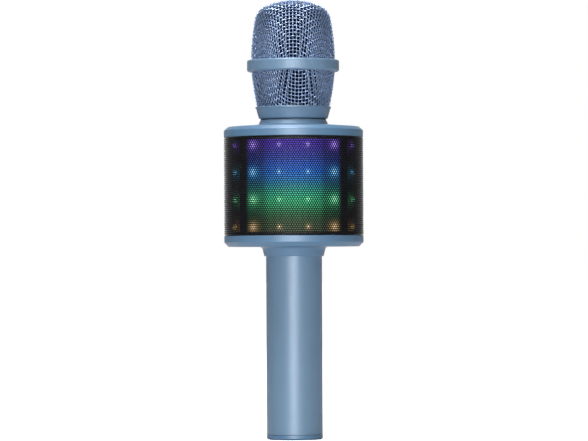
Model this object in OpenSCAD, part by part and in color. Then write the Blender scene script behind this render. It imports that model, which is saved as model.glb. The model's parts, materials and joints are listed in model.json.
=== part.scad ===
// Karaoke microphone with a lit speaker drum between its handle and its head.
// Millimetres, +Z up. The origin is the centre of the handle's flat end, the front
// of the drum faces -Y and the control panel faces +Y.

/* [Handle] */
// Outer diameter of the handle tube
handle_d = 31.8; // [31.2:0.1:32]
// Wall of the handle tube
handle_wall = 1.5; // [1.3:0.1:1.6]
// Height of the handle up to the flare under the drum
handle_h = 104; // [104:0.5:110]
// Thickness of the end cap's visible disc
end_cap_h = 3; // [2.6:0.1:3.2]
// Height of the flare that carries the drum
flare_h = 5.5; // [4.5:0.5:6]

/* [Drum] */
// Outer diameter of the speaker drum
drum_d = 79.2; // [79:0.2:82]
// Height of the drum with both caps
drum_h = 69.3; // [68:0.1:72]
// Side height of the bottom cap
bottom_cap_h = 6.1; // [5.8:0.1:6.5]
// Side height of the top cap
top_cap_h = 7.3; // [6.4:0.1:7.4]
// Thickness of the perforated sheet
grille_t = 0.4; // [0.3:0.1:0.6]
// Half angle of each lit window
window_a = 46.8; // [44:0.1:46.8]
// Rows of lamps
led_rows = 4; // [2:1:4]

/* [Head] */
// Height of the threaded collar at the bottom of the head
collar_h = 7; // [6.8:0.1:8]
// Height of the lower wire skirt
skirt_h = 19.9; // [19.9:0.1:21]
// Height of the band between skirt and dome
band_h = 6.7; // [6:0.1:7]
// Outer diameter of that band
band_d = 52.4; // [51:0.2:54]
// Height of the wire dome
dome_h = 34.4; // [34.4:0.1:35]
// Thickness of the woven wire
weave_t = 0.8; // [0.6:0.1:1]

/* [Controls] */
// Gap between a button and the panel around it
button_gap = 0.25; // [0.2:0.05:0.3]

/* [Hidden] */
$fn = 96;
eps = 0.05;
handle_r = handle_d / 2;
bore_r = handle_r - handle_wall;
drum_r = drum_d / 2;
band_r = band_d / 2;

// Levels, from the bottom up
drum_z = handle_h + flare_h;
drum_top_z = drum_z + drum_h;
cap_wall = 2;
seam = 0.2;
rim_z = drum_z + bottom_cap_h;          // top edge of the bottom cap
lid_z = drum_top_z - top_cap_h;         // lower edge of the top cap
drum_mid_z = (rim_z + lid_z) / 2;
neck_h = 3.2;
neck_gap = 0.6;
head_z = drum_top_z + neck_h;
skirt_z = head_z + collar_h;
band_z = skirt_z + skirt_h;
dome_z = band_z + band_h;

// Outline of the head's wire: two shallow arcs, a tight corner and a crown
skirt_arc = [-114.85, 30.2, 139];       // centre radius, centre height over skirt_z, arc radius
dome_arc = [-107.05, -1, 131];          // the same, over dome_z
corner_arc = [10.6, 20.9, 11.4];
corner_start = 9.5;
crown_tilt = 25.3;
crown_r = 36.1;

// Drum interior
frame_r = drum_r - 1;
rail_h = 2;
shelf_z = rim_z + rail_h + 0.1;
ceiling_z = lid_z - rail_h - 0.1;
led_r = frame_r - 2;
led_step = 360 / 14;
led_size = 3.2;
led_pitch = (ceiling_z - shelf_z - 5.6) / 3;
led_mid_z = drum_mid_z - 0.2;
box_r = 31;
box_x = 27;
box_wall = 2;
boss_x = 21;
boss_dz = 22.5;

// Handle interior
cell_r = 9.2;
cell_y = -4;
cell_h = 65;
cell_z = 20;
board_y = 6;
board_t = 1.2;
panel_y = 13.7;
panel_back_y = 10.7;
panel_w = 14.9;
panel_z0 = 28;
panel_z1 = 99;
button_top_y = panel_y + 1;
button_foot_y = 9.9;
flange_t = 0.6;
flange_w = 0.7;
port_z = 8.6;
jack_xy = [-6.5, 3.5];
jack_r = 1.8;
usb_y = -6;
card_xy = [4.6, 4];
end_screw_xy = [10.6, -2.2];

// Neck thread: the spigot is smooth and runs clear inside the collar
spigot_r = 17.5;
collar_bore_r = 18.2;
spigot_h = 6.6;
neck_bore_r = 15.2;

// Buttons: name, x, z, width, height (round where both are equal)
BUTTONS = [
    ["power", 0, 87, 8, 8],
    ["volume_up", 0, 76, 10, 5],
    ["volume_down", 0, 68.5, 10, 5],
    ["mode", 0, 59.5, 7, 7],
    ["echo_up", 0, 50.5, 10, 5],
    ["echo_down", 0, 43, 10, 5],
    ["previous", 3.6, 35.2, 5.4, 5.4],
    ["next", -3.6, 35.2, 5.4, 5.4]
];
status_z = 94.2;
status_r = 1.1;

// ---- Shared shapes -------------------------------------------------------

function arc(c, r, a0, a1, n) =
    [for (i = [0 : n]) let (a = a0 + (a1 - a0) * i / n) [c[0] + r * cos(a), c[1] + r * sin(a)]];

function reversed(points) = [for (i = [len(points) - 1 : -1 : 0]) points[i]];

// Radius of the skirt and of the dome's wall at a height
function skirt_radius(z) =
    skirt_arc[0] + sqrt(pow(skirt_arc[2], 2) - pow(z - skirt_z - skirt_arc[1], 2));
function wall_radius(z) =
    dome_arc[0] + sqrt(pow(dome_arc[2], 2) - pow(z - dome_z - dome_arc[1], 2));

function skirt_line(inset, z0, n = 8) =
    [for (i = [0 : n]) let (z = z0 + (band_z - z0) * i / n) [skirt_radius(z) - inset, z]];

// Dome outline from its foot to the crown, moved inwards by inset
function dome_line(inset, z0) = let (
    corner_z = dome_z + corner_arc[1],
    wall_end = corner_z + corner_arc[2] * sin(corner_start),
    crown_c = dome_z + dome_h - crown_r
) concat(
    [for (i = [0 : 5]) let (z = z0 + (wall_end - z0) * i / 6) [wall_radius(z) - inset, z]],
    arc([corner_arc[0], corner_z], corner_arc[2] - inset, corner_start, 90 - crown_tilt - 2, 8),
    arc([0, crown_c], crown_r - inset, 90 - crown_tilt + 1, 90, 6)
);

module ring(r_out, r_in, z0, z1) {
    translate([0, 0, z0]) difference() {
        cylinder(r = r_out, h = z1 - z0);
        translate([0, 0, -eps]) cylinder(r = r_in, h = z1 - z0 + 2 * eps);
    }
}

// Curved plate centred on an angle
module arc_plate(r_out, r_in, z0, z1, middle, half) {
    rotate([0, 0, middle - half]) rotate_extrude(angle = 2 * half)
        translate([r_in, z0]) square([r_out - r_in, z1 - z0]);
}

// Extrudes a shape drawn in X and Z along Y
module along_y(y0, y1) {
    translate([0, y1, 0]) rotate([90, 0, 0]) linear_extrude(height = y1 - y0) children();
}

// Flat oval or circle, grown all round by grow
module pill(w, h, grow = 0) {
    r = h / 2 + grow;
    span = (w - h) / 2;
    if (span > 0) {
        translate([-span, 0]) circle(r = r);
        translate([span, 0]) circle(r = r);
        translate([-span, -r]) square([2 * span, 2 * r]);
    } else circle(r = r);
}

// Upright oval for the control panel
module panel_outline(grow = 0) {
    r = panel_w / 2 + grow;
    for (z = [panel_z0 + panel_w / 2, panel_z1 - panel_w / 2]) translate([0, z]) circle(r = r);
    translate([-r, panel_z0 + panel_w / 2]) square([2 * r, panel_z1 - panel_z0 - panel_w]);
}

// Cross-head screw standing on its tip, its shank up to z = length
module screw(length, r, head_r, head_h) {
    difference() {
        union() {
            cylinder(r = r, h = length + eps);
            translate([0, 0, length]) cylinder(r = head_r, h = head_h);
        }
        for (turn = [0, 90]) rotate([0, 0, turn])
            translate([-head_r * 0.6, -0.18, length + head_h * 0.45])
                cube([head_r * 1.2, 0.36, head_h]);
    }
}

module each_third(r, start = 90) {
    for (i = [0 : 2]) rotate([0, 0, start + 120 * i]) translate([r, 0, 0]) children();
}

// ---- Handle --------------------------------------------------------------

module end_cap() {
    chamfer = 0.8;
    color("steelblue") difference() {
        union() {
            cylinder(r1 = handle_r - chamfer, r2 = handle_r, h = chamfer);
            translate([0, 0, chamfer]) cylinder(r = handle_r, h = end_cap_h - seam - chamfer);
            ring(bore_r - 0.15, bore_r - 1.5, end_cap_h - seam - eps, port_z + board_t);
        }
        translate([jack_xy[0], jack_xy[1], -eps]) cylinder(r = 3.05, h = end_cap_h);
        translate([0, usb_y, -eps]) linear_extrude(height = end_cap_h) pill(9.3, 3.6);
        translate([card_xy[0] - 6, card_xy[1] - 0.9, -eps]) cube([12, 1.8, end_cap_h]);
        for (side = [-1, 1]) translate([side * end_screw_xy[0], end_screw_xy[1], -eps]) {
            cylinder(r = 1.2, h = end_cap_h);
            cylinder(r = 1.95, h = 1.4);
        }
    }
}

module end_screws() {
    length = 13;
    color("silver") for (side = [-1, 1])
        translate([side * end_screw_xy[0], end_screw_xy[1], length + 1.3])
            rotate([180, 0, 0]) screw(length, 0.95, 1.8, 1);
}

module port_board() {
    color("darkgreen") difference() {
        ring(bore_r - 1.7, 0.9, port_z, port_z + board_t);
        translate([jack_xy[0], jack_xy[1], port_z - 1]) cylinder(r = 3.05, h = 4);
        for (side = [-1, 1]) translate([side * end_screw_xy[0], end_screw_xy[1], port_z - 1])
            cylinder(r = 1.2, h = 4);
    }
}

module charge_socket() {
    floor_z = 1;
    color("silver") translate([0, usb_y, 0.5]) difference() {
        linear_extrude(height = port_z - 0.5) pill(8.9, 3.2);
        translate([0, 0, -eps]) linear_extrude(height = 6.2) difference() {
            pill(8.3, 2.6);
            translate([-3.3, -0.35]) square([6.6, 0.7]);
        }
        translate([0, 0, -eps]) linear_extrude(height = floor_z) pill(8.3, 2.6);
    }
}

module aux_jack() {
    depth = 14;
    color("silver") translate([jack_xy[0], jack_xy[1], 0.4]) difference() {
        cylinder(r = 2.95, h = depth + 1.4);
        translate([0, 0, -eps]) cylinder(r = jack_r, h = depth);
    }
}

module card_socket() {
    color("dimgray") translate([card_xy[0] - 5.8, card_xy[1] - 0.8, 0.5]) difference() {
        cube([11.6, 1.6, port_z - 0.5]);
        translate([0.3, 0.35, -eps]) cube([11, 0.9, port_z - 1.5]);
    }
}

module handle_tube() {
    top = drum_z + 3;
    color("steelblue") difference() {
        ring(handle_r, bore_r, end_cap_h, top);
        along_y(0, handle_r + 1) panel_outline(0.1);
    }
}

module handle_chassis() {
    z0 = port_z + board_t + 0.1;
    rib_t = 2;
    color("darkslategray") difference() {
        union() {
            ring(bore_r - 0.2, bore_r - 1.4, z0, handle_h - 1);
            for (z = [cell_z - rib_t, cell_z + 22, cell_z + 43, cell_z + cell_h])
                ring(bore_r - 0.2, 0.9, z, z + rib_t);
            for (side = [-1, 1]) translate([side * end_screw_xy[0], end_screw_xy[1], z0])
                cylinder(r = 2.2, h = cell_z - z0);
        }
        translate([-20, board_y - 0.1, 0]) cube([40, 20, handle_h]);
        translate([0, cell_y, cell_z]) cylinder(r = cell_r + 0.15, h = cell_h);
        for (side = [-1, 1]) translate([side * end_screw_xy[0], end_screw_xy[1], z0 - eps])
            cylinder(r = 1, h = 6);
        translate([jack_xy[0], jack_xy[1], z0 - 1]) cylinder(r = 3.2, h = 8);
        for (side = [-1, 1]) translate([side * 2.5, cell_y, cell_z + cell_h - eps])
            cylinder(r = 1, h = rib_t + 1);
    }
}

module battery_cell() {
    cap = 0.8;
    color("mediumaquamarine") translate([0, cell_y, cell_z + cap + 0.1]) {
        cylinder(r = cell_r, h = cell_h - 2 * cap - 1.4);
        translate([0, 0, cell_h - 2 * cap - 1.4 - eps]) cylinder(r = 3.2, h = 1.2);
    }
}

module battery_pads() {
    color("gold") for (z = [cell_z, cell_z + cell_h - 0.9]) translate([-3, cell_y - 3, z])
        cube([6, 6, 0.8]);
}

module battery_leads() {
    color("firebrick") for (side = [-1, 1])
        translate([side * 2.5, cell_y, cell_z + cell_h]) cylinder(r = 0.7, h = 25);
}

module control_board() {
    color("darkgreen") translate([-9.5, board_y, cell_z]) cube([19, board_t, 80]);
}

module tact_switches() {
    size = 4.4;
    body_t = 1.6;
    color("dimgray") for (b = BUTTONS) translate([b[1], board_y + board_t, b[2]])
        rotate([-90, 0, 0]) {
            translate([-size / 2, -size / 2, 0]) cube([size, size, body_t]);
            cylinder(r = 1, h = body_t + 0.5);
        }
}

module control_panel() {
    color("lightsteelblue") difference() {
        union() {
            along_y(panel_back_y, panel_y) panel_outline();
            along_y(panel_back_y, panel_back_y + flange_t) panel_outline(0.8);
        }
        for (b = BUTTONS) translate([b[1], 0, b[2]]) along_y(panel_back_y - 1, panel_y + 1)
            pill(b[3], b[4], button_gap);
        translate([0, 0, status_z]) along_y(panel_back_y - 1, panel_y + 1)
            circle(r = status_r + 0.05);
    }
}

module status_lens() {
    color("white") translate([0, 0, status_z]) along_y(board_y + board_t, panel_y + 0.15)
        circle(r = status_r);
}

module button(name) {
    b = [for (row = BUTTONS) if (row[0] == name) row][0];
    color("aliceblue") translate([b[1], 0, b[2]]) {
        along_y(button_foot_y, button_top_y) pill(b[3], b[4]);
        along_y(button_foot_y, button_foot_y + flange_t) pill(b[3], b[4], flange_w);
    }
}

// ---- Drum ----------------------------------------------------------------

module lock_ring() {
    color("gray") ring(handle_r + 3.4, handle_r + 0.1, drum_z + cap_wall, drum_z + 3.2);
}

module drum_bottom_cap() {
    chamfer = 2.4;
    foot_r = handle_r + 1.07;
    flare_r = handle_r + 1.85;
    fillet = 2.2;
    lip = 0.25;
    outline = concat(
        [[handle_r + 0.05, handle_h], [foot_r - 0.3, handle_h], [foot_r, handle_h + 0.3]],
        reversed(arc([flare_r + fillet, drum_z - fillet], fillet, 90, 165, 8)),
        [[drum_r - chamfer, drum_z], [drum_r, drum_z + chamfer], [drum_r, rim_z - lip],
         [drum_r - lip, rim_z],
         [drum_r - cap_wall - 0.2, rim_z], [drum_r - cap_wall - 0.2, drum_z + cap_wall + 1.2],
         [drum_r - cap_wall - 1.4, drum_z + cap_wall], [handle_r + 0.05, drum_z + cap_wall]]
    );
    color("steelblue") difference() {
        union() {
            rotate_extrude() polygon(outline);
            each_third(27.5) ring(2.8, 1.25, drum_z + cap_wall - eps, rim_z);
            each_third(21.8, 30) ring(1.6, 0.8, drum_z + cap_wall - eps, drum_z + 3.5);
        }
        each_third(27.5) translate([0, 0, drum_z - 1]) {
            cylinder(r = 1.25, h = 8);
            cylinder(r = 2.2, h = 2.3);
        }
    }
}

module drum_screws() {
    length = 6.4;
    color("silver") each_third(27.5) translate([0, 0, drum_z + length + 1.3])
        rotate([180, 0, 0]) screw(length, 1.1, 2, 1.1);
}

module main_board() {
    z0 = drum_z + 3.5;
    color("darkgreen") difference() {
        ring(23.9, 3.2, z0, z0 + board_t);
        each_third(21.8, 30) translate([0, 0, z0 - 1]) cylinder(r = 0.9, h = 4);
    }
}

module board_screws() {
    color("silver") each_third(21.8, 30) translate([0, 0, drum_z + 2.5])
        screw(3.5 + board_t - 2.5, 0.7, 1.4, 0.7);
}

// Two rails and four posts that carry the lamps and the windows
module light_frame() {
    post_half = 2.4;
    color("black") difference() {
        union() {
            ring(frame_r, box_r - 1.5, rim_z + 0.1, shelf_z);
            ring(frame_r, box_r - 1.5, ceiling_z, lid_z - 0.1);
            for (face = [90, 270], side = [-1, 1])
                arc_plate(frame_r, led_r - 1.5, shelf_z - eps, ceiling_z + eps,
                    face + side * (window_a + 0.3 + post_half), post_half);
        }
        each_third(27.5) translate([0, 0, rim_z - 1]) cylinder(r = 1.15, h = 5);
    }
}

module led_strip(middle, half) {
    arc_plate(led_r, led_r - 0.6, shelf_z, ceiling_z, middle, half);
}

module led_strip_front() {
    color("dimgray") led_strip(270, window_a - 1.5);
}

module led_strip_rear() {
    color("dimgray") led_strip(90, window_a - 1.5);
}

module led_strips(side) {
    middle = side > 0 ? 0 : 180;
    color("dimgray") for (half = [-1, 1]) led_strip(middle + half * led_step, 5);
}

// Lamps on every seventh of a half turn, but none in front of the cones
module led_lamps() {
    color("ivory") for (i = [0 : 13], k = [0 : led_rows - 1]) {
        a = 90 + led_step * (i + 0.5);
        if (abs(cos(a)) < 0.99)
            rotate([0, 0, a]) translate([led_r, -led_size / 2,
                led_mid_z + (k - (led_rows - 1) / 2) * led_pitch - led_size / 2])
                cube([0.8, led_size, led_size]);
    }
}

module light_window(middle) {
    color("mediumspringgreen")
        arc_plate(frame_r, frame_r - 0.7, shelf_z, ceiling_z, middle, window_a);
}

module at_speaker(side) {
    translate([side * box_x, 0, drum_mid_z]) rotate([0, side * 90, 0]) children();
}

module at_bosses(y) {
    for (sx = [-1, 1], sz = [-1, 1])
        translate([sx * boss_x, y, drum_mid_z + sz * boss_dz]) rotate([-90, 0, 0]) children();
}

module box_outline(inset) {
    intersection() {
        circle(r = box_r - inset);
        square([2 * (box_x - inset), 2 * box_r], center = true);
    }
}

module speaker_box(half) {
    h = ceiling_z - shelf_z;
    screw_r = half > 0 ? 1.3 : 1;
    difference() {
        union() {
            difference() {
                translate([0, 0, shelf_z]) linear_extrude(height = h) box_outline(0);
                translate([0, 0, shelf_z + box_wall])
                    linear_extrude(height = h - 2 * box_wall) box_outline(box_wall);
            }
            intersection() {
                translate([0, 0, shelf_z]) linear_extrude(height = h) box_outline(0.5);
                at_bosses(-17) cylinder(r = 2.8, h = 34);
            }
        }
        translate([-50, half > 0 ? -100 : 0, 0]) cube([100, 100, 300]);
        for (side = [-1, 1]) at_speaker(side) translate([0, 0, -5]) cylinder(r = 18.8, h = 10);
        translate([0, 0, shelf_z - 1]) cylinder(r = 2.5, h = h + 2);
        at_bosses(half > 0 ? -1 : -12) cylinder(r = screw_r, h = 13);
        at_bosses(12 - eps) cylinder(r = 2.4, h = 25);
    }
}

module box_screws() {
    color("silver") at_bosses(-9) screw(21, 0.95, 2, 1.3);
}

module speaker_frame(side) {
    outline = [[16.4, 1], [20.2, 1], [20.2, 0], [18.5, 0], [10.2, -9.4], [6.8, -9.4],
        [6.8, -8.6], [9.8, -8.6], [17.4, 0], [16.4, 0]];
    color("dimgray") at_speaker(side) rotate_extrude() polygon(outline);
}

module speaker_magnet(side) {
    color("gray") at_speaker(side) {
        translate([0, 0, -14.5]) cylinder(r = 9.8, h = 3.1);
        translate([0, 0, -11.5]) cylinder(r = 8.8, h = 2.1);
    }
}

module speaker_surround(side) {
    roll = 1.2;
    mid_r = 17.2;
    outline = concat([[mid_r + roll + 1.2, 1], [mid_r + roll + 1.2, 1.5]],
        arc([mid_r, 1.3], roll, 10, 170, 8), arc([mid_r, 1.1], roll - 0.45, 170, 10, 8));
    color("black") at_speaker(side) rotate_extrude() polygon(outline);
}

module speaker_cone(side) {
    outline = [[15.5, 1.6], [15.5, 0.9], [6.5, -4.4], [5.9, -4.4], [5.9, -8.2], [5.5, -8.2],
        [5.5, -3.8], [15.1, 1.9]];
    color("darkslategray") at_speaker(side) {
        rotate_extrude() polygon(outline);
        rotate_extrude() polygon(concat(arc([0, -10.6], 9.4, 50, 90, 6),
            arc([0, -10.6], 8.9, 90, 50, 6)));
    }
}

module speaker_grille() {
    color("black") ring(drum_r, drum_r - grille_t, rim_z + seam, lid_z - seam);
}

module drum_top_cap() {
    chamfer = 2.4;
    rounding = 0.8;
    lip = 0.25;
    shoulder = drum_top_z - 1.3;
    shoulder_r = drum_r - chamfer;
    outline = concat(
        [[drum_r - cap_wall - 0.2, lid_z], [drum_r - lip, lid_z], [drum_r, lid_z + lip]],
        arc([drum_r - rounding, shoulder - chamfer], rounding, 0, 45, 3),
        arc([shoulder_r - 0.2, shoulder - rounding], rounding, 45, 86, 3),
        [[20.2, drum_top_z], [neck_bore_r + 0.2, drum_top_z],
         [neck_bore_r + 0.2, drum_top_z - cap_wall],
         [shoulder_r - 1.8, drum_top_z - cap_wall - 1.2],
         [drum_r - cap_wall - 0.2, drum_top_z - cap_wall - 3.6]]
    );
    color("steelblue") difference() {
        rotate_extrude() polygon(outline);
        each_third(neck_bore_r + 1.25, 0) translate([0, 0, drum_top_z - 3])
            cylinder(r = 0.9, h = 5);
    }
}

// ---- Neck and capsule ----------------------------------------------------

module neck_ring() {
    outline = [[neck_bore_r, drum_top_z], [20.2, drum_top_z], [19.7, drum_top_z + 0.5],
        [18.7, head_z - neck_gap], [spigot_r, head_z - neck_gap],
        [spigot_r, head_z - neck_gap + spigot_h - 0.4],
        [spigot_r - 0.4, head_z - neck_gap + spigot_h],
        [neck_bore_r, head_z - neck_gap + spigot_h]];
    color("steelblue") difference() {
        rotate_extrude() polygon(outline);
        each_third(neck_bore_r + 1.25, 0) translate([0, 0, drum_top_z - 1])
            cylinder(r = 0.75, h = 6);
    }
}

module neck_screws() {
    length = 6;
    color("silver") each_third(neck_bore_r + 1.25, 0)
        translate([0, 0, drum_top_z - cap_wall - 0.25 + length])
            rotate([180, 0, 0]) screw(length, 0.7, 1.5, 0.9);
}

module neck_gasket() {
    color("black") ring(18.5, spigot_r + 0.05, head_z - neck_gap, head_z - 0.15);
}

module capsule_cable() {
    color("black") translate([0, 0, drum_z + 3.5 + board_t])
        cylinder(r = 0.9, h = head_z - drum_z - 3.7);
}

// Dished plate in the neck with the tube that holds the capsule
module capsule_mount() {
    z0 = head_z + 0.1;
    plate_t = 2;
    color("dimgray") difference() {
        union() {
            translate([0, 0, z0]) cylinder(r = neck_bore_r - 0.05, h = plate_t);
            translate([0, 0, z0 + plate_t - eps]) cylinder(r1 = 7, r2 = 5, h = 4);
            translate([0, 0, z0 + plate_t]) cylinder(r = 5, h = 9);
            translate([0, 0, z0 + plate_t + 9 - eps]) cylinder(r = 9, h = 9);
        }
        translate([0, 0, z0 - 1]) cylinder(r = 1.5, h = 30);
        translate([0, 0, z0 + plate_t + 10.5]) cylinder(r = 7.6, h = 12);
    }
}

module capsule_body() {
    z0 = head_z + 13;
    color("gold") difference() {
        union() {
            translate([0, 0, z0]) cylinder(r = 7.5, h = 9);
            translate([0, 0, z0 + 8.5]) cylinder(r1 = 8.6, r2 = 8, h = 1.6);
        }
        for (i = [0 : 5]) rotate([0, 0, 60 * i]) translate([4, 0, z0 + 9])
            cylinder(r = 0.8, h = 3);
        translate([0, 0, z0 + 9]) cylinder(r = 0.8, h = 3);
    }
}

// ---- Head ----------------------------------------------------------------

module foam_windscreen() {
    gap = weave_t + 0.8;
    foam_t = 3;
    foot = skirt_z + 1;
    joint = dome_z + 1;
    outer = concat(skirt_line(gap, foot), dome_line(gap, joint));
    inner = concat(skirt_line(gap + foam_t, foot), dome_line(gap + foam_t, joint));
    color("black") rotate_extrude() polygon(concat(outer, reversed(inner)));
}

module head_collar() {
    round_r = 1.2;
    foot_r = 19.8;
    lip_r = 21.5;
    outline = concat([[collar_bore_r, head_z]],
        arc([foot_r - round_r, head_z + round_r], round_r, 270, 355, 5),
        [[lip_r - 0.4, skirt_z - 1.2], [lip_r, skirt_z - 0.9], [lip_r, skirt_z - 0.3],
         [lip_r - 0.3, skirt_z], [collar_bore_r, skirt_z]]);
    color("steelblue") rotate_extrude() polygon(outline);
}

module grille_skirt() {
    color("steelblue") rotate_extrude()
        polygon(concat(skirt_line(0, skirt_z), reversed(skirt_line(weave_t, skirt_z))));
}

module grille_band() {
    round_r = 1.2;
    bore = wall_radius(dome_z) - weave_t - 0.4;
    outline = concat([[bore, band_z]],
        arc([band_r - round_r, band_z + round_r], round_r, 270, 360, 6),
        arc([band_r - round_r, dome_z - round_r], round_r, 0, 90, 6), [[bore, dome_z]]);
    color("steelblue") rotate_extrude() polygon(outline);
}

module grille_dome() {
    color("steelblue") rotate_extrude()
        polygon(concat(dome_line(0, dome_z), reversed(dome_line(weave_t, dome_z))));
}

// ---- Assembly ------------------------------------------------------------

end_cap();
end_screws();
port_board();
charge_socket();
aux_jack();
card_socket();
handle_tube();
handle_chassis();
battery_cell();
battery_pads();
battery_leads();
control_board();
tact_switches();
control_panel();
status_lens();
button("power");  // power_button
button("volume_up");  // volume_up_button
button("volume_down");  // volume_down_button
button("mode");  // mode_button
button("echo_up");  // echo_up_button
button("echo_down");  // echo_down_button
button("previous");  // previous_button
button("next");  // next_button
lock_ring();
drum_bottom_cap();
drum_screws();
main_board();
board_screws();
light_frame();
led_strip_front();
led_strip_rear();
led_strips(-1);  // led_strips_left
led_strips(1);  // led_strips_right
led_lamps();
light_window(270);  // light_window_front
light_window(90);  // light_window_rear
color("dimgray") speaker_box(-1);  // speaker_box_front
color("dimgray") speaker_box(1);  // speaker_box_rear
box_screws();
speaker_frame(-1);  // speaker_frame_left
speaker_frame(1);  // speaker_frame_right
speaker_magnet(-1);  // speaker_magnet_left
speaker_magnet(1);  // speaker_magnet_right
speaker_surround(-1);  // speaker_surround_left
speaker_surround(1);  // speaker_surround_right
speaker_cone(-1);  // speaker_cone_left
speaker_cone(1);  // speaker_cone_right
speaker_grille();
drum_top_cap();
neck_ring();
neck_screws();
neck_gasket();
capsule_cable();
capsule_mount();
capsule_body();
foam_windscreen();
head_collar();
grille_skirt();
grille_band();
grille_dome();
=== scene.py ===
"""Looks of a karaoke microphone with a lit speaker drum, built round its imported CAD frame.

Lengths are millimetres and angles degrees, unless a comment says otherwise. Blender works in
metres, so MM turns one into the other. The front faces -Y and the control panel faces +Y.
"""

import json
import math

import bpy
import numpy as np
from mathutils import Matrix, Vector

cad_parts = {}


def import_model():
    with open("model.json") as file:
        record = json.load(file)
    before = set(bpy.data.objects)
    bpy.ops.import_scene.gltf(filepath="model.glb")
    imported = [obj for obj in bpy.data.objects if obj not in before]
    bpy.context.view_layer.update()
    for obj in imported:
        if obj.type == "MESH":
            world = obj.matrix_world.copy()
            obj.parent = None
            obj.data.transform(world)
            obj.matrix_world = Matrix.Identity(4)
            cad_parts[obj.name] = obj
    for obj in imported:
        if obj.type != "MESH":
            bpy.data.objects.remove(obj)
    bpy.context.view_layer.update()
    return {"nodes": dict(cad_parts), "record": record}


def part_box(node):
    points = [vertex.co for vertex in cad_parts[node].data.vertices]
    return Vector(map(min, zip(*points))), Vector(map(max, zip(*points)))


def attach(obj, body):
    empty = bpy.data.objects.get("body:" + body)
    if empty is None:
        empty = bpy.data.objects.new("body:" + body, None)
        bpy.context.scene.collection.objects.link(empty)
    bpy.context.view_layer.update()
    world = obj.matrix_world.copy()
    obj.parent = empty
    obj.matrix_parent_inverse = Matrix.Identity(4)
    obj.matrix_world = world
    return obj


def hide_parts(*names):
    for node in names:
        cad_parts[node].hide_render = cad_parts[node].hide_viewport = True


MM = 0.001
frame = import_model()
nodes = frame["nodes"]


# ---- Sizes taken from the frame ------------------------------------------


def span(node, axis):
    """Lowest and highest coordinate of a CAD node along an axis."""
    low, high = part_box(node)
    return low["xyz".index(axis)] / MM, high["xyz".index(axis)] / MM


DRUM_R = span("speaker_grille", "x")[1]
GRILLE_Z = span("speaker_grille", "z")
COLLAR_Z = span("head_collar", "z")
SKIRT_Z, BAND_Z = span("grille_skirt", "z")
DOME_Z, CROWN_Z = span("grille_dome", "z")
WINDOW_R = -span("light_window_front", "y")[0]
# Radius of the neck's spigot, inside the collar
NECK_R = 17.5

# Lamps: their size, the angle between the columns that the window shows, and their rows, each
# of which has its light painted over a level of the drum from LIT_FOOT up
LAMP_SIZE = 3.2
LAMP_STEP = 24.3
LAMP_ROWS = 4
LAMP_Z = span("led_lamps", "z")
LAMP_PITCH = (LAMP_Z[1] - LAMP_Z[0] - LAMP_SIZE) / (LAMP_ROWS - 1)
LIT_FOOT = LAMP_Z[0] + (LAMP_SIZE - LAMP_PITCH) / 2
LIT_TOP = LIT_FOOT + LAMP_ROWS * LAMP_PITCH

# Outline of the head's wire, as in the CAD: arc centres (radius, height) and arc radii
SKIRT_ARC = (-114.85, SKIRT_Z + 30.2, 139)
WALL_ARC = (-107.05, DOME_Z - 1, 131)
CORNER_ARC = (10.6, DOME_Z + 20.9, 11.4)
CORNER_START = 9.5
CROWN_R = 36.1
CROWN_TILT = 25.3

# Wire cloth: how far a wire swings from the middle of the weave, the side of a cell, the
# smallest angle a cell shears to, and the share of its width over which it stiffens up to that
WIRE_D = 0.5
WIRE_LIFT = 0.3
WIRE_PITCH = 2.03
WIRE_LOCK = 36.5
WIRE_EASE = 1.0


# ---- Node graphs ---------------------------------------------------------


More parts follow.
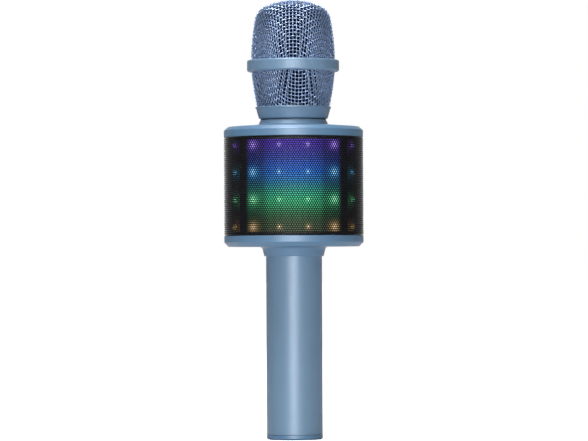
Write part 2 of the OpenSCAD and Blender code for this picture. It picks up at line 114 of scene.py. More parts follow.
class Graph:
    """Node graph of a world or material, written as nested calls."""

    def __init__(self, owner):
        owner.use_nodes = True
        self.owner = owner
        self.tree = owner.node_tree
        self.tree.nodes.clear()

    def node(self, kind, inputs=(), **settings):
        made = self.tree.nodes.new("ShaderNode" + kind)
        for key, value in settings.items():
            setattr(made, key, value)
        for key, value in dict(inputs).items():
            if isinstance(value, bpy.types.NodeSocket):
                self.tree.links.new(value, made.inputs[key])
            else:
                made.inputs[key].default_value = value
        return made

    def math(self, operation, *values, clamp=False):
        return self.node("Math", enumerate(values), operation=operation, use_clamp=clamp).outputs[0]

    def place(self, stretch=(1, 1, 1)):
        """Object coordinates in millimetres, stretched along each axis."""
        raw = self.node("TexCoord").outputs["Object"]
        scale = [part / MM for part in stretch]
        return self.node("VectorMath", {0: raw, 1: scale}, operation="MULTIPLY").outputs[0]

    def noise(self, place, size, detail=2.0, rough=0.5):
        inputs = {"Vector": place, "Scale": 1 / size, "Detail": detail, "Roughness": rough}
        return self.node("TexNoise", inputs).outputs["Fac"]

    def cells(self, place, size, output="Distance"):
        return self.node("TexVoronoi", {"Vector": place, "Scale": 1 / size}).outputs[output]

    def spread(self, value, low, high, out_low=0.0, out_high=1.0):
        inputs = {0: value, 1: low, 2: high, 3: out_low, 4: out_high}
        return self.node("MapRange", inputs).outputs[0]

    def mix(self, factor, a, b, blend="MIX"):
        a, b = (rgba(side) for side in (a, b))
        inputs = {"Fac": factor, "Color1": a, "Color2": b}
        return self.node("MixRGB", inputs, blend_type=blend).outputs[0]

    def ramp(self, value, stops, interpolation="LINEAR"):
        made = self.node("ValToRGB", {"Fac": value})
        made.color_ramp.interpolation = interpolation
        while len(made.color_ramp.elements) < len(stops):
            made.color_ramp.elements.new(0.5)
        for element, (at, colour) in zip(made.color_ramp.elements, stops):
            element.position = at
            element.color = rgba(colour)
        return made.outputs[0]

    def bump(self, height, depth, normal=None):
        inputs = {"Strength": 1.0, "Distance": depth * MM, "Height": height}
        if normal:
            inputs["Normal"] = normal
        return self.node("Bump", inputs).outputs[0]

    def finish(self, **inputs):
        """Principled shader; a keyword's underscores stand for spaces."""
        named = {key.replace("_", " "): value for key, value in inputs.items()}
        for key in ("Base Color", "Emission Color"):
            if key in named:
                named[key] = rgba(named[key])
        shader = self.node("BsdfPrincipled", named).outputs[0]
        self.node("OutputMaterial", {"Surface": shader})
        return self.owner


def material_graph(name):
    return Graph(bpy.data.materials.new(name))


def rgba(colour):
    """A colour triple with alpha, or the socket itself."""
    return colour if isinstance(colour, bpy.types.NodeSocket) else (*colour, 1)


def scaled(colour, factor):
    return tuple(part * factor for part in colour)


# ---- Materials -----------------------------------------------------------


def surface(name, colour, roughness, metallic=0.0, tint=0.1, tint_size=7.0, grain=0.3,
            depth=0.004, gloss=0.06, **sockets):
    """Moulded or cast surface: mottled colour, uneven gloss and a fine grain."""
    s = material_graph(name)
    place = s.place()
    cloud = s.noise(place, tint_size, detail=4)
    fine = s.noise(place, grain, detail=3)
    dark, light = scaled(colour, 1 - tint), scaled(colour, 1 + tint)
    base = s.mix(s.spread(cloud, 0.3, 0.7), dark, light)
    worn = s.noise(place, tint_size * 0.4)
    rough = s.spread(worn, 0.3, 0.7, roughness - gloss, roughness + gloss)
    return s.finish(Base_Color=base, Roughness=rough, Metallic=metallic,
                    Normal=s.bump(fine, depth), **sockets)


def metallic_paint(name, colour, roughness, metallic=0.12, flake=0.1, coat=1.0):
    """Satin paint with fine metal flakes and a slight orange peel under its clear coat."""
    s = material_graph(name)
    place = s.place()
    flakes = s.node("SeparateColor", {"Color": s.cells(place, 0.11, "Color")}).outputs[0]
    cloud = s.noise(place, 11.0, detail=3)
    tone = s.math("ADD", s.math("MULTIPLY", flakes, 0.7), s.math("MULTIPLY", cloud, 0.3))
    base = s.mix(tone, scaled(colour, 1 - flake), scaled(colour, 1 + flake))
    rounded = s.node("Bevel", {"Radius": 0.35 * MM}, samples=6).outputs[0]
    peel = s.bump(s.noise(place, 1.1, detail=1), 0.006, rounded)
    sparkle = s.bump(flakes, 0.002, peel)
    gloss = 0.035
    rough = s.spread(s.noise(place, 4.0, detail=4), 0.3, 0.7, roughness - gloss, roughness + gloss)
    return s.finish(Base_Color=base, Roughness=rough, Metallic=metallic, Normal=sparkle,
                    Coat_Weight=coat, Coat_Roughness=0.42)


def wire_paint(name, colour):
    """Glossy, slightly mottled paint on drawn wire."""
    s = material_graph(name)
    place = s.place()
    cloud = s.noise(place, 2.4, detail=3)
    base = s.mix(cloud, scaled(colour, 0.82), scaled(colour, 1.18))
    drawn = s.bump(s.noise(place, 0.25, detail=2), 0.006)
    rough = s.spread(cloud, 0.3, 0.7, 0.24, 0.34)
    return s.finish(Base_Color=base, Roughness=rough, Metallic=0.7, Normal=drawn,
                    Coat_Weight=1.0, Coat_Roughness=0.13)


def foam(name, colour):
    """Open-cell foam: grains of sponge, with painted shade that darkens the pores between them."""
    s = material_graph(name)
    place = s.place()
    pores = s.cells(place, 0.9)
    cloud = s.noise(place, 5.0, detail=3)
    # Painted shade: darker away from the grains' middles, towards the pores between them
    tone = s.mix(s.spread(pores, 0.1, 0.6), scaled(colour, 1.5), scaled(colour, 0.4))
    base = s.mix(cloud, tone, scaled(colour, 0.8))
    return s.finish(Base_Color=base, Roughness=0.95, Normal=s.bump(pores, 0.35),
                    Specular_IOR_Level=0.1)


def brushed(name, colour, roughness, stretch=(1, 1, 12)):
    """Turned or drawn metal: fine lines that run across the axis with the largest stretch."""
    s = material_graph(name)
    lines = s.noise(s.place(stretch), 0.6, detail=4)
    cloud = s.noise(s.place(), 3.0, detail=3)
    base = s.mix(cloud, scaled(colour, 0.88), scaled(colour, 1.08))
    rough = s.spread(lines, 0.3, 0.7, roughness - 0.08, roughness + 0.08)
    return s.finish(Base_Color=base, Roughness=rough, Metallic=1.0, Normal=s.bump(lines, 0.004))


def circuit_board(name, mask, trace):
    """Solder mask over copper traces that run in steps, with pads and a fibre weave."""
    s = material_graph(name)
    place = s.place()
    blocks = s.node("TexVoronoi", {"Vector": place, "Scale": 0.42}, distance="CHEBYCHEV",
                    feature="F1")
    rings = s.math("SINE", s.math("MULTIPLY", blocks.outputs["Distance"], 26))
    lines = s.spread(rings, 0.35, 0.5)
    pads = s.spread(s.cells(place, 2.6), 0.13, 0.1)
    base = s.mix(s.math("MULTIPLY", lines, 0.6), mask, trace)
    base = s.mix(pads, base, (0.8, 0.78, 0.7))
    weave = s.noise(place, 0.35)
    height = s.math("ADD", s.math("MULTIPLY", lines, 0.7), weave)
    return s.finish(Base_Color=base, Roughness=s.spread(weave, 0.3, 0.7, 0.28, 0.42),
                    Metallic=s.math("MULTIPLY", pads, 0.8), Normal=s.bump(height, 0.02))


def pressed_paper(name, colour):
    """Pressed paper fibres of a speaker cone."""
    s = material_graph(name)
    place = s.place()
    fibres = s.noise(place, 0.5, detail=6, rough=0.7)
    base = s.mix(fibres, scaled(colour, 0.6), scaled(colour, 1.6))
    return s.finish(Base_Color=base, Roughness=0.8, Normal=s.bump(fibres, 0.05))


def column_offset(s, degrees):
    """Distance round the window, in millimetres, from the nearest column of lamps.

    The columns stand half a step on each side of the window's middle, and a step apart.
    """
    steps = s.math("DIVIDE", degrees, LAMP_STEP)
    return s.math("MULTIPLY", s.math("SUBTRACT", s.math("FRACT", steps), 0.5),
                  math.radians(LAMP_STEP) * WINDOW_R)


def row_offset(s, height):
    """Distance, in millimetres, from the nearest row of lamps."""
    steps = s.math("DIVIDE", s.math("SUBTRACT", height, LIT_FOOT), LAMP_PITCH)
    return s.math("MULTIPLY", s.math("SUBTRACT", s.math("FRACT", steps), 0.5), LAMP_PITCH)


def glow(s, across, up, width, height):
    """Bell-shaped spot of light, 1 at its centre."""
    a = s.math("POWER", s.math("DIVIDE", across, width), 2)
    b = s.math("POWER", s.math("DIVIDE", up, height), 2)
    return s.math("EXPONENT", s.math("MULTIPLY", s.math("ADD", a, b), -1))


# Colour of each row's lamps, and of its light as painted over the window, lowest row first
LAMPS = [(0.85, 0.5, 0.17), (0.2, 1.0, 0.45), (0.1, 0.6, 1.0), (0.36, 0.16, 1.0)]
SPREAD = [(0.06, 0.09, 0.04), (0.04, 0.5, 0.2), (0.01, 0.14, 0.62), (0.06, 0.02, 0.34)]
SPREAD_FOOT = (0.04, 0.03, 0.02)
# Share of that light left half-way from each row to the next one up
BETWEEN = (0.28, 0.55, 0.6, 0.95)
# Half angle of the part of the window on which the lamps' light is painted
LIT_ANGLE = 42.5


def lamp_colour(s, height):
    """Colour of the lamps in the row at a height."""
    stops = [(k / LAMP_ROWS, colour) for k, colour in enumerate(LAMPS)]
    return s.ramp(s.spread(height, LIT_FOOT, LIT_TOP), stops, "CONSTANT")


def wash(s, height):
    """Painted light that the rows spread over the window: each row's colour, dimmer half-way
    between.
    """
    stops = [(0, SPREAD_FOOT)]
    for k, colour in enumerate(SPREAD):
        stops.append(((k + 0.5) / LAMP_ROWS, colour))
        above = SPREAD[k + 1] if k + 1 < LAMP_ROWS else colour
        middle = tuple((a + b) / 2 * BETWEEN[k] for a, b in zip(colour, above))
        stops.append(((k + 1) / LAMP_ROWS, middle))
    return s.ramp(s.spread(height, LIT_FOOT, LIT_TOP), stops, "B_SPLINE")


def lit_window(name):
    """Milky diffuser that glows with painted light: the wash of the strip behind it and the spots
    of its lamps.

    The outer columns' spots are wider than the inner ones', and the wash is dimmer there.
    """
    s = material_graph(name)
    axes = s.node("SeparateXYZ", {0: s.place()}).outputs
    turn = s.math("ARCTAN2", axes[0], s.math("ABSOLUTE", axes[1]))
    degrees = s.math("MULTIPLY", turn, 180 / math.pi)
    aside = s.math("ABSOLUTE", degrees)
    across, up = column_offset(s, degrees), row_offset(s, axes[2])
    outer = s.spread(aside, LAMP_STEP * 0.9, LAMP_STEP * 1.1)
    # Painted light, not cast by the lamps: the rows' wash, dimmer at the outer columns, then the
    # lamps' haze and cores
    spread = s.mix(s.math("MULTIPLY", outer, 0.45), wash(s, axes[2]), (0, 0, 0))
    halo = glow(s, across, up, s.spread(outer, 0, 1, 2.0, 3.3), s.spread(outer, 0, 1, 2.0, 2.8))
    core = glow(s, across, up, s.spread(outer, 0, 1, 0.8, 1.35), s.spread(outer, 0, 1, 0.9, 1.5))
    tint = lamp_colour(s, axes[2])
    haze = s.math("MULTIPLY", halo, s.spread(outer, 0, 1, 0.14, 0.6))
    light = s.mix(1.0, spread, s.mix(haze, (0, 0, 0), tint), "ADD")
    light = s.mix(core, light, s.mix(0.3, tint, (1, 1, 1)))
    edge = s.spread(aside, LIT_ANGLE - 2, LIT_ANGLE + 1.5)
    light = s.mix(edge, light, (0.004, 0.004, 0.008))
    milk = s.noise(s.place(), 3.0, detail=3)
    return s.finish(Base_Color=s.mix(milk, (0.012, 0.014, 0.015), (0.02, 0.024, 0.025)),
                    Roughness=0.6, Specular_IOR_Level=0.1,
                    Normal=s.bump(s.noise(s.place(), 0.4), 0.01), Emission_Color=light,
                    Emission_Strength=1.9)


def lamp_board(name, colour):
    """Black solder mask with the light of the lamps on it painted in as a glow."""
    s = material_graph(name)
    axes = s.node("SeparateXYZ", {0: s.place()}).outputs
    fine = s.noise(s.place(), 0.3, detail=3)
    up = row_offset(s, axes[2])
    # Painted light: a glow of each row's lamp colour along that row
    painted_spill = s.mix(glow(s, up, up, 5.5, 5.5), (0, 0, 0), lamp_colour(s, axes[2]))
    return s.finish(Base_Color=s.mix(fine, scaled(colour, 0.8), scaled(colour, 1.2)), Roughness=0.4,
                    Normal=s.bump(fine, 0.01), Emission_Color=painted_spill, Emission_Strength=0.35)


def lit_lamp(name):
    """Clear lens over a chip that glows in its row's colour."""
    s = material_graph(name)
    axes = s.node("SeparateXYZ", {0: s.place()}).outputs
    glass = s.noise(s.place(), 0.8)
    up = row_offset(s, axes[2])
    spot = glow(s, up, up, 1.8, 1.8)
    return s.finish(Base_Color=s.mix(glass, (0.5, 0.5, 0.45), (0.7, 0.7, 0.65)), Roughness=0.15,
                    Normal=s.bump(glass, 0.01), Emission_Strength=3.0,
                    Emission_Color=s.mix(spot, (0, 0, 0), lamp_colour(s, axes[2])))


PAINT = (0.145, 0.255, 0.385)
MATERIALS = {
    "painted_shell": metallic_paint("painted_shell", (0.095, 0.21, 0.355), 0.45),
    "painted_tube": metallic_paint("painted_tube", PAINT, 0.45),
    "painted_ring": metallic_paint("painted_ring", PAINT, 0.45),
    "painted_wire": wire_paint("painted_wire", (0.3, 0.42, 0.66)),
    "black_grille": surface("black_grille", (0.008, 0.008, 0.01), 0.42, tint=0.2, depth=0.006,
                            Specular_IOR_Level=0.05, Sheen_Weight=0.85, Sheen_Roughness=0.24),
    "windscreen_foam": foam("windscreen_foam", (0.003, 0.004, 0.018)),
    "black_plastic": surface("black_plastic", (0.02, 0.02, 0.022), 0.5, depth=0.012),
    "grey_plastic": surface("grey_plastic", (0.1, 0.105, 0.11), 0.5, depth=0.012),
    "button_plastic": surface("button_plastic", (0.62, 0.68, 0.74), 0.38, tint=0.05,
                              Subsurface_Weight=0.05, Subsurface_Scale=0.001),
    "panel_plastic": metallic_paint("panel_plastic", scaled(PAINT, 0.62), 0.3),
    "rubber_black": surface("rubber_black", (0.02, 0.02, 0.02), 0.75, depth=0.02, grain=0.5),
    "screw_steel": brushed("screw_steel", (0.62, 0.62, 0.63), 0.28),
    "socket_steel": brushed("socket_steel", (0.66, 0.66, 0.67), 0.22),
    "capsule_brass": brushed("capsule_brass", (0.72, 0.54, 0.26), 0.3),
    "magnet_steel": brushed("magnet_steel", (0.4, 0.4, 0.41), 0.4, (1, 12, 12)),
    "cone_paper": pressed_paper("cone_paper", (0.03, 0.03, 0.032)),
    "circuit_board": circuit_board("circuit_board", (0.02, 0.13, 0.06), (0.05, 0.26, 0.12)),
    "lamp_board": lamp_board("lamp_board", (0.03, 0.03, 0.032)),
    "battery_wrap": surface("battery_wrap", (0.08, 0.36, 0.3), 0.3, Coat_Weight=0.3),
    "wire_red": surface("wire_red", (0.42, 0.02, 0.02), 0.45),
    "light_diffuser": lit_window("light_diffuser"),
    "lamp_lens": lit_lamp("lamp_lens"),
    "status_lens": surface("status_lens", (0.3, 0.6, 0.8), 0.2, Emission_Strength=1.5,
                           Emission_Color=(0.2, 0.6, 1.0)),
    "key_ink": surface("key_ink", (0.1, 0.14, 0.2), 0.5, depth=0.002),
}

for part in frame["record"]["subparts"]:
    node = nodes[part["node"]]
    node.data.materials.clear()
    node.data.materials.append(MATERIALS[part["material_slot"]])


# ---- Mesh tools ----------------------------------------------------------


def piece(name, points, faces, slot, body, replaces=(), crease=38, material=None):
    """Mesh object from points in millimetres, riding on a body of the frame."""
    data = bpy.data.meshes.new(name)
    data.from_pydata((np.asarray(points) * MM).tolist(), [], [list(map(int, f)) for f in faces])
    data.shade_smooth()
    data.set_sharp_from_angle(angle=math.radians(crease))
    data.materials.append(MATERIALS[material or slot])
    made = bpy.data.objects.new(name, data)
    bpy.context.scene.collection.objects.link(made)
    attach(made, body)
    if replaces:
        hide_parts(*replaces)
    return made


def arc(centre, radius, start, end, count):
    """Points of an arc between two angles, both ends included."""
    turns = np.radians(np.linspace(start, end, count + 1))
    return [(centre[0] + radius * math.cos(a), centre[1] + radius * math.sin(a)) for a in turns]


def lathe(outline, segments=192):
    """Points and faces of a closed outline (radius, height) turned round Z."""
    turns = np.linspace(0, 2 * math.pi, segments, endpoint=False)
    line = np.array(outline)
    points = [(r * math.cos(a), r * math.sin(a), z) for a in turns for r, z in line]
    count = len(line)
    faces = []
    for i in range(segments):
        here, there = i * count, (i + 1) % segments * count
        for j in range(count):
            k = (j + 1) % count
            faces.append((here + j, there + j, there + k, here + k))
    return points, faces


# ---- Woven wire ----------------------------------------------------------


def dense(line, step=0.5):
    """The same line with points no further apart than step."""
    points = [np.array(line[0], float)]
    for a, b in zip(np.array(line, float), np.array(line[1:], float)):
        count = max(1, math.ceil(np.linalg.norm(b - a) / step))
        points += [a + (b - a) * (i + 1) / count for i in range(count)]
    return np.array(points)


class Turned:
    """Surface of revolution given by its profile from the pole outwards."""

    def __init__(self, line):
        self.line = dense(line)
        steps = np.gradient(self.line, axis=0)
        self.tangent = steps / np.linalg.norm(steps, axis=1)[:, None]
        lengths = np.linalg.norm(np.diff(self.line, axis=0), axis=1)
        self.travel = np.concatenate([[0], np.cumsum(lengths)])

    def project(self, where):
        """Nearest points on the surface, and the normals and directions from the pole there."""
        radius = np.maximum(np.hypot(where[:, 0], where[:, 1]), 1e-9)
        gap = (radius[:, None] - self.line[:, 0]) ** 2 + (where[:, 2, None] - self.line[:, 1]) ** 2
        near = np.argmin(gap, 1)
        tangent = self.tangent[near]
        flat = np.stack([radius, where[:, 2]], 1)
        along = ((flat - self.line[near]) * tangent).sum(1)
        spot = self.line[near] + tangent * along[:, None]
        unit = where[:, :2] / radius[:, None]
        on = np.column_stack([unit * spot[:, :1], spot[:, 1]])
        normal = np.column_stack([unit * -tangent[:, 1:], tangent[:, 0]])
        onward = np.column_stack([unit * tangent[:, :1], tangent[:, 1]])
        return on, normal, onward


# Rounds in which a row of the net finds its direction, and pushes its crowded nodes apart
AIM_ROUNDS = 6
PUSH_ROUNDS = 60


def drape(turned, levels, pitch, lock):
    """Square net laid over a surface of revolution from its pole, with wires along X and Y.

    Every cell keeps the length of its sides and shears, as wire cloth does when it is pressed
    into a bowl, but its short diagonal never closes past the lock angle. A quarter is laid out
    ring by ring and mirrored. Returns the nodes, with NaN where there are none.
    """
    short = 2 * pitch * math.sin(math.radians(lock) / 2)
    quarter = np.full((levels + 1, levels + 1, 3), np.nan)
    rings = []
    for level in range(levels + 1):
        radius = np.interp(level * pitch, turned.travel, turned.line[:, 0])
        height = np.interp(level * pitch, turned.travel, turned.line[:, 1])
        ring = np.zeros((level + 1, 3))
        ring[0], ring[-1] = (radius, 0, height), (0, radius, height)
        if level > 1:
            a, b = rings[-1][1:], rings[-1][:-1]
            middle, across = (a + b) / 2, a - b
            width = np.linalg.norm(across, axis=1)[:, None]
            across = across / width
            ahead = middle - rings[-2]
            free = np.clip((width / short - 1) / WIRE_EASE, 0, 1)
            for _ in range(AIM_ROUNDS):
                ahead = ahead - across * (ahead * across).sum(1)[:, None]
                ahead /= np.linalg.norm(ahead, axis=1)[:, None]
                ahead = free * ahead + (1 - free) * turned.project(middle)[2]
                ahead /= np.linalg.norm(ahead, axis=1)[:, None]
                reach = np.sqrt(np.maximum(pitch ** 2 - width ** 2 / 4, 0.1))
                ring[1:-1] = turned.project(middle + ahead * reach)[0]
                ahead = ring[1:-1] - middle
            for _ in range(PUSH_ROUNDS):
                gap = np.diff(ring, axis=0)
                length = np.linalg.norm(gap, axis=1)[:, None]
                push = gap / length * np.maximum(short - length, 0) / 2
                ring[1:-1] += push[:-1] - push[1:]
                ring[1:-1] = turned.project(ring[1:-1])[0]
        rings.append(ring)
        for k, node in enumerate(ring):
            quarter[level - k, k] = node
    steps = np.arange(-levels, levels + 1)
    net = quarter[abs(steps)][:, abs(steps)]
    net[..., 0] *= np.where(steps < 0, -1, 1)[:, None]
    net[..., 1] *= np.where(steps < 0, -1, 1)[None, :]
    return net


def smooth_path(points, parts):
    """Catmull-Rom curve through points, with parts stretches between neighbours."""
    padded = np.vstack([2 * points[0] - points[1], points, 2 * points[-1] - points[-2]])
    t = (np.arange(parts) / parts)[:, None]
    rows = []
    for a, b, c, d in zip(padded, padded[1:], padded[2:], padded[3:]):
        rows.append(0.5 * (2 * b + (c - a) * t + (2 * a - 5 * b + 4 * c - d) * t ** 2
                           + (3 * b - a - 3 * c + d) * t ** 3))
    return np.vstack([*rows, points[-1:]])


def sweep(path, normals, radius, sides):
    """Closed tube along a path, as points and faces."""
    tangent = np.gradient(path, axis=0)
    tangent /= np.linalg.norm(tangent, axis=1)[:, None]
    across = np.cross(tangent, normals)
    across /= np.linalg.norm(across, axis=1)[:, None]
    out = np.cross(across, tangent)
    turns = np.arange(sides) * 2 * math.pi / sides
    right, up = (part[None, :, None] for part in (np.cos(turns), np.sin(turns)))
    ring = right * out[:, None] + up * across[:, None]
    points = (path[:, None] + radius * ring).reshape(-1, 3)
    faces = []
    for i in range(len(path) - 1):
        for j in range(sides):
            k = (j + 1) % sides
            faces.append((i * sides + j, i * sides + k, (i + 1) * sides + k, (i + 1) * sides + j))
    faces.append(tuple(range(sides))[::-1])
    faces.append(tuple(range((len(path) - 1) * sides, len(path) * sides)))
    return points, faces


def woven(name, line, keep, turn, replaces):
    """Two pieces, warp and weft, of plain-woven wire over a turned surface.

    line is the surface's profile from the pole outwards, keep the lowest and highest height
    that the wires reach, and turn the angle of the net round Z.
    """
    turned = Turned(line)
    levels = int(turned.travel[-1] / WIRE_PITCH)
    net = drape(turned, levels, WIRE_PITCH, WIRE_LOCK)
    live = ~np.isnan(net[..., 0])
    normal = np.zeros_like(net)
    normal[live] = turned.project(net[live])[1]
    steps = np.arange(2 * levels + 1)
    over = np.where(np.add.outer(steps, steps) % 2, 1, -1)
    rotation = np.array(Matrix.Rotation(math.radians(turn), 3, "Z"))
    for label, sign, swap in (("warp", 1, False), ("weft", -1, True)):
        points, faces, total = [], [], 0
        centre = net + normal * (WIRE_LIFT * sign * over)[..., None]
        grids = [np.swapaxes(g, 0, 1) if swap else g for g in (centre, normal, live)]
        for path, out, used in zip(*grids):
            if used.sum() < 3:
                continue
            fine, fine_out = smooth_path(path[used], 4), smooth_path(out[used], 4)
            inside = (fine[:, 2] > keep[0]) & (fine[:, 2] < keep[1])
            edges = np.flatnonzero(np.diff(np.concatenate([[0], inside, [0]])))
            for start, end in zip(edges[::2], edges[1::2]):
                if end - start < 4:
                    continue
                tube, sides = sweep(fine[start:end] @ rotation.T, fine_out[start:end] @ rotation.T,
                                    WIRE_D / 2, 6)
                points.append(tube)
                faces += [tuple(total + k for k in face) for face in sides]
                total += len(tube)
        piece(name + "_" + label, np.vstack(points), faces, "painted_wire", "head", replaces,
              crease=60)


def dome_profile(inset, foot):
    """Dome's outline from the crown down to the foot height, moved inwards by inset.

    A short straight piece joins the crown's arc and the corner's.
    """
    crown = arc((0, CROWN_Z - CROWN_R), CROWN_R - inset, 90, 91 - CROWN_TILT, 10)
    corner = arc(CORNER_ARC[:2], CORNER_ARC[2] - inset, 88 - CROWN_TILT, CORNER_START, 10)
    top = corner[-1][1]
    wall = [(WALL_ARC[0] + math.sqrt(WALL_ARC[2] ** 2 - (z - WALL_ARC[1]) ** 2) - inset, z)
            for z in np.linspace(top, foot, 12)[1:]]
    return crown + corner + wall


def skirt_profile(inset, foot, head):
    """Skirt's wall from its foot height up to its head height."""
    return [(SKIRT_ARC[0] + math.sqrt(SKIRT_ARC[2] ** 2 - (z - SKIRT_ARC[1]) ** 2) - inset, z)
            for z in np.linspace(foot, head, 12)]


def wire_head():
    """Dome and skirt of wire. Both profiles run on past the kept part, so the net fills it."""
    inset = WIRE_LIFT + WIRE_D / 2
    tuck, spare = 0.9, 14
    dome = dome_profile(inset, DOME_Z - 1)
    dome.append((dome[-1][0], DOME_Z - spare))
    woven("dome", dome, (DOME_Z - tuck, CROWN_Z), 0, ["grille_dome"])
    # The skirt's net starts from the middle of a cup's floor below the collar's rim
    bend, skirt_turn = 3, 8
    wall = skirt_profile(inset, SKIRT_Z - 4, BAND_Z + 1)
    foot_r, foot_z = wall[0]
    cup = [(0, foot_z - bend)] + arc((foot_r - bend, foot_z), bend, -90, 0, 5)[:-1] + wall
    cup.append((cup[-1][0] + 1, BAND_Z + spare))
    woven("skirt", cup, (SKIRT_Z - tuck, BAND_Z + tuck), skirt_turn, ["grille_skirt"])


# ---- Perforated sheet ----------------------------------------------------


HOLE_SIDES = 8


def cell_triangles():
    """Triangles between a hexagon's corners, 0 to 5, and the points of its hole, from 6 on."""
    triangles = []
    i = j = 0
    while i < 6 or j < HOLE_SIDES:
        next_corner = 30 + 60 * (i + 1)
        next_point = 360 * (j + 1.5) / HOLE_SIDES
        if j >= HOLE_SIDES or (i < 6 and next_corner < next_point):
            triangles.append((i % 6, (i + 1) % 6, 6 + j % HOLE_SIDES))
            i += 1
        else:
            triangles.append((i % 6, 6 + (j + 1) % HOLE_SIDES, 6 + j % HOLE_SIDES))
            j += 1
    return triangles


def half_sheet(first, columns, rows, hole_r, thickness):
    """Points and faces of half a tube of staggered holes, from the first column on.

    Each hole sits in a hexagonal cell of a lattice whose corners have whole numbers: half
    columns across, thirds of a row up.
    """
    half_step = math.pi / columns
    row_step = half_step * 2 * DRUM_R * math.sqrt(3) / 2
    low_z = sum(GRILLE_Z) / 2 - row_step * (rows - 1) / 2
    corners = [(1, 1), (0, 2), (-1, 1), (-1, -1), (0, -2), (1, -1)]
    triangles = cell_triangles()
    hole_turns = np.radians([360 * (k + 0.5) / HOLE_SIDES for k in range(HOLE_SIDES)])
    lookup, places, faces = {}, [], []

    def spot(key, angle, z):
        if key not in lookup:
            lookup[key] = len(places)
            places.append((angle, z))
        return lookup[key]

    def corner(across, up):
        return spot((across, up), across * half_step, low_z + up * row_step / 3)

    def edge(across, z):
        return spot((across, z), across * half_step, z)

    for row in range(rows):
        for column in range(first, first + columns // 2):
            across, up = 2 * column + row % 2, 3 * row
            angle, z = across * half_step, low_z + up * row_step / 3
            ids = [corner(across + a, up + b) for a, b in corners]
            for turn in hole_turns:
                ids.append(len(places))
                places.append((angle + hole_r * math.cos(turn) / DRUM_R,
                               z + hole_r * math.sin(turn)))
            faces += [tuple(ids[k] for k in face) for face in triangles]
            if row == 0:
                at = [edge(across + k, GRILLE_Z[0]) for k in (-1, 0, 1)]
                faces += [(at[0], at[1], ids[4], ids[3]), (at[1], at[2], ids[5], ids[4])]
            if row == rows - 1:
                at = [edge(across + k, GRILLE_Z[1]) for k in (-1, 0, 1)]
                faces += [(ids[2], ids[1], at[1], at[0]), (ids[1], ids[0], at[2], at[1])]
    count = len(places)
    rims = dict.fromkeys(side for face in faces for side in zip(face, face[1:] + face[:1]))
    walls = [(b, a, a + count, b + count) for a, b in rims if (b, a) not in rims]
    inner = [tuple(k + count for k in reversed(face)) for face in faces]
    points = [(r * math.cos(a), r * math.sin(a), z)
              for r in (DRUM_R, DRUM_R - thickness) for a, z in places]
    return points, faces + inner + walls


def perforated_sheet(columns, rows, hole_r, thickness):
    """Drum's grille in two halves, cut through by its holes."""
    for label, first in (("rear", 0), ("front", columns // 2)):
        points, faces = half_sheet(first, columns, rows, hole_r, thickness)
        piece("perforated_" + label, points, faces, "black_grille", "root", ["speaker_grille"])


# ---- Foam, thread and key marks ------------------------------------------


def windscreen():
    """Foam lining, a little below the wire."""
    gap, thickness = 1.75, 2.6
    foot = SKIRT_Z + 1.2
    outer, inner = (skirt_profile(inset, foot, BAND_Z) + dome_profile(inset, DOME_Z + 1)[::-1]
                    for inset in (gap, gap + thickness))
    pole_r = 0.02
    outer[-1], inner[-1] = (pole_r, outer[-1][1]), (pole_r, inner[-1][1])
    points, faces = lathe(outer + inner[::-1], 128)
    made = piece("foam_lining", points, faces, "windscreen_foam", "windscreen", ["foam_windscreen"])


def neck_thread():
    """Rounded helical ridge on the neck's spigot, which fades out at both ends."""
    pitch, turns, steps = 2.0, 2.3, 64
    base = COLLAR_Z[0] + 0.6
    angle = np.linspace(0, 2 * math.pi * turns, int(turns * steps))
    fade = np.clip(np.minimum(angle, angle[-1] - angle) / 0.8, 0.12, 1)
    profile = [(-0.06, -0.5), (0.3, -0.16), (0.3, 0.16), (-0.06, 0.5)]
    points, faces = [], []
    for a, size in zip(angle, fade):
        z = base + pitch * a / (2 * math.pi)
        for out, up in profile:
            r = NECK_R + (out * size if out > 0 else out)
            points.append((r * math.cos(a), r * math.sin(a), z + up))
    for i in range(len(angle) - 1):
        for j in range(4):
            k = (j + 1) % 4
            faces.append((i * 4 + j, (i + 1) * 4 + j, (i + 1) * 4 + k, i * 4 + k))
    faces += [(0, 1, 2, 3), tuple(4 * len(angle) - k for k in (1, 2, 3, 4))]
    piece("neck_thread", points, faces, "painted_shell", "root")


# How far a key's marks stand out of it, and reach into it
MARK_LIFT = 0.05


def bar(width, height, right=0.0, up=0.0):
    """Rectangle round a point."""
    w, h = width / 2, height / 2
    return [(right - w, up - h), (right + w, up - h), (right + w, up + h), (right - w, up + h)]


def ring_part(radius, width, start, end):
    """Arc of a flat ring, from start to end degrees, counter-clockwise from the right."""
    outer = arc((0, 0), radius + width / 2, start, end, 24)
    return outer + arc((0, 0), radius - width / 2, start, end, 24)[::-1]


def triangle(width, height, right=0.0, up=0.0):
    """Triangle that points to the right."""
    w, h = width / 2, height / 2
    return [(right - w, up - h), (right + w, up), (right - w, up + h)]


def rotated(outline, angle):
    """Outline turned counter-clockwise, seen from behind."""
    c, s = math.cos(math.radians(angle)), math.sin(math.radians(angle))
    return [(c * x - s * z, s * x + c * z) for x, z in outline]


def key_mark(key, *outlines):
    """Thin raised marks on a key. An outline's first axis is to the right, seen from behind."""
    low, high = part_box(key)
    middle_x, middle_z = (low[0] + high[0]) / 2 / MM, (low[2] + high[2]) / 2 / MM
    face = high[1] / MM
    points, faces = [], []
    for outline in outlines:
        start, count = len(points), len(outline)
        for y in (face - MARK_LIFT, face + MARK_LIFT):
            points += [(middle_x - right, y, middle_z + up) for right, up in outline]
        ring = range(count)
        for k in ring:
            n = (k + 1) % count
            faces.append((start + k, start + n, start + count + n, start + count + k))
        faces.append([start + k for k in reversed(ring)])
        faces.append([start + count + k for k in ring])
    piece(key + "_mark", points, faces, "button_plastic", key.replace("button", "key"),
          material="key_ink")


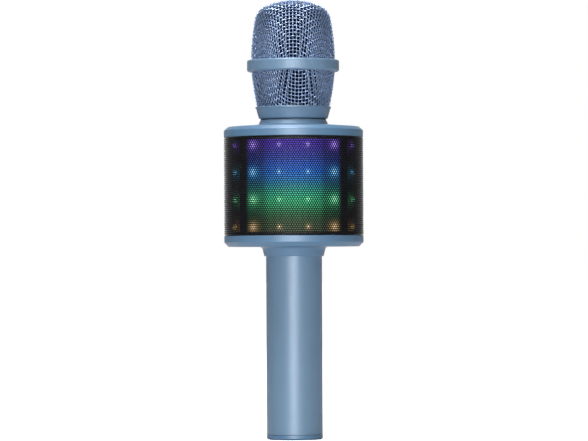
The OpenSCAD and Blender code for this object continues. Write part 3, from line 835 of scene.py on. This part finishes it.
def key_marks():
    """Generic signs: power, plus and minus, mode ring, echo arrows up and down, and skips."""
    plus = [bar(2.4, 0.6), bar(0.6, 0.9, 0, 0.75), bar(0.6, 0.9, 0, -0.75)]
    skip = [triangle(1.5, 2.0, -0.6), triangle(1.5, 2.0, 0.8), bar(0.4, 2.0, 1.8)]
    key_mark("power_button", ring_part(1.9, 0.55, 125, 415), bar(0.55, 1.9, 0, 1.5))
    key_mark("volume_up_button", *plus)
    key_mark("volume_down_button", bar(2.4, 0.6))
    key_mark("mode_button", ring_part(1.7, 0.5, 0, 180), ring_part(1.7, 0.5, 180, 360))
    for key, way in (("echo_up_button", 90), ("echo_down_button", -90)):
        key_mark(key, *[rotated(triangle(1.2, 2.4, right), way) for right in (-0.65, 0.85)])
    key_mark("next_button", *skip)
    key_mark("previous_button", *[rotated(outline, 180) for outline in skip])


wire_head()
perforated_sheet(columns=182, rows=46, hole_r=0.46, thickness=0.4)
windscreen()
neck_thread()
key_marks()


# ---- Light, floor and camera ---------------------------------------------


def world():
    """White to the camera; to the object a studio that is brightest behind it."""
    s = Graph(bpy.data.worlds.new("studio"))
    bpy.context.scene.world = s.owner
    axes = s.node("SeparateXYZ", {0: s.node("TexCoord").outputs["Generated"]}).outputs
    level = s.ramp(s.spread(axes[1], -1.0, 1.0), [
        (0, (0.34, 0.35, 0.36)), (0.25, (0.2, 0.21, 0.22)), (0.5, (0.1, 0.105, 0.11)),
        (0.75, (0.08, 0.085, 0.09)), (0.93, (0.3, 0.3, 0.32)), (1, (0.6, 0.6, 0.6))])
    level = s.mix(s.spread(axes[2], 0.2, 1.0), level, (0.2, 0.21, 0.22))
    seen = s.node("LightPath").outputs["Is Camera Ray"]
    colour = s.mix(seen, level, (1, 1, 1))
    s.node("OutputWorld", {0: s.node("Background", {0: colour, 1: 1.0}).outputs[0]})


def softbox(name, place, aim, size, power):
    """White rectangular light, in metres and watts, that the camera doesn't see."""
    data = bpy.data.lights.new(name, "AREA")
    data.shape = "RECTANGLE"
    data.size, data.size_y = size
    data.energy = power
    made = bpy.data.objects.new(name, data)
    made.location = place
    made.rotation_euler = (Vector(aim) - Vector(place)).to_track_quat("-Z", "Y").to_euler()
    made.visible_camera = False
    bpy.context.scene.collection.objects.link(made)


def floor():
    """Pale floor, white to the camera and dim to the object that stands on it."""
    s = material_graph("floor")
    pale = s.noise(s.place(), 80.0)
    base = s.mix(pale, (0.55, 0.55, 0.55), (0.6, 0.6, 0.6))
    seen = s.node("LightPath").outputs["Is Camera Ray"]
    material = s.finish(Base_Color=s.mix(seen, base, (0.9, 0.9, 0.9)), Roughness=0.9,
                        Emission_Color=(1, 1, 1), Emission_Strength=seen)
    data = bpy.data.meshes.new("floor")
    size = 40
    data.from_pydata([(-size, -size, 0), (size, -size, 0), (size, size, 0), (-size, size, 0)],
                     [], [(0, 1, 2, 3)])
    data.materials.append(material)
    made = bpy.data.objects.new("floor", data)
    bpy.context.scene.collection.objects.link(made)


def camera():
    """Long lens, low, tilted a little up and rolled a little; metres and degrees."""
    data = bpy.data.cameras.new("camera")
    data.lens = 230
    data.clip_end = 200
    made = bpy.data.objects.new("camera", data)
    place, aim, roll = Vector((0, -2.136, 0.0937)), Vector((0.0001, 0, 0.1243)), -0.29
    look = (aim - place).to_track_quat("-Z", "Y").to_matrix().to_4x4()
    tilt = Matrix.Rotation(math.radians(roll), 4, "Z")
    made.matrix_world = Matrix.Translation(place) @ look @ tilt
    bpy.context.scene.collection.objects.link(made)
    bpy.context.scene.camera = made


world()
floor()
softbox("key", (-0.11, -1.9, 0.12), (0, 0, 0.13), (0.85, 0.24), 15)
softbox("fill", (0.0, -2.2, 0.4), (0, 0, 0.13), (1.8, 1.2), 8)
softbox("top", (-0.14, -0.27, 1.3), (0, 0, 0.17), (0.4, 0.6), 16)
softbox("rear", (0, 2.0, 1.5), (0, 0, 0.1), (1.2, 0.9), 11)
camera()
bpy.context.scene.view_settings.view_transform = "Standard"
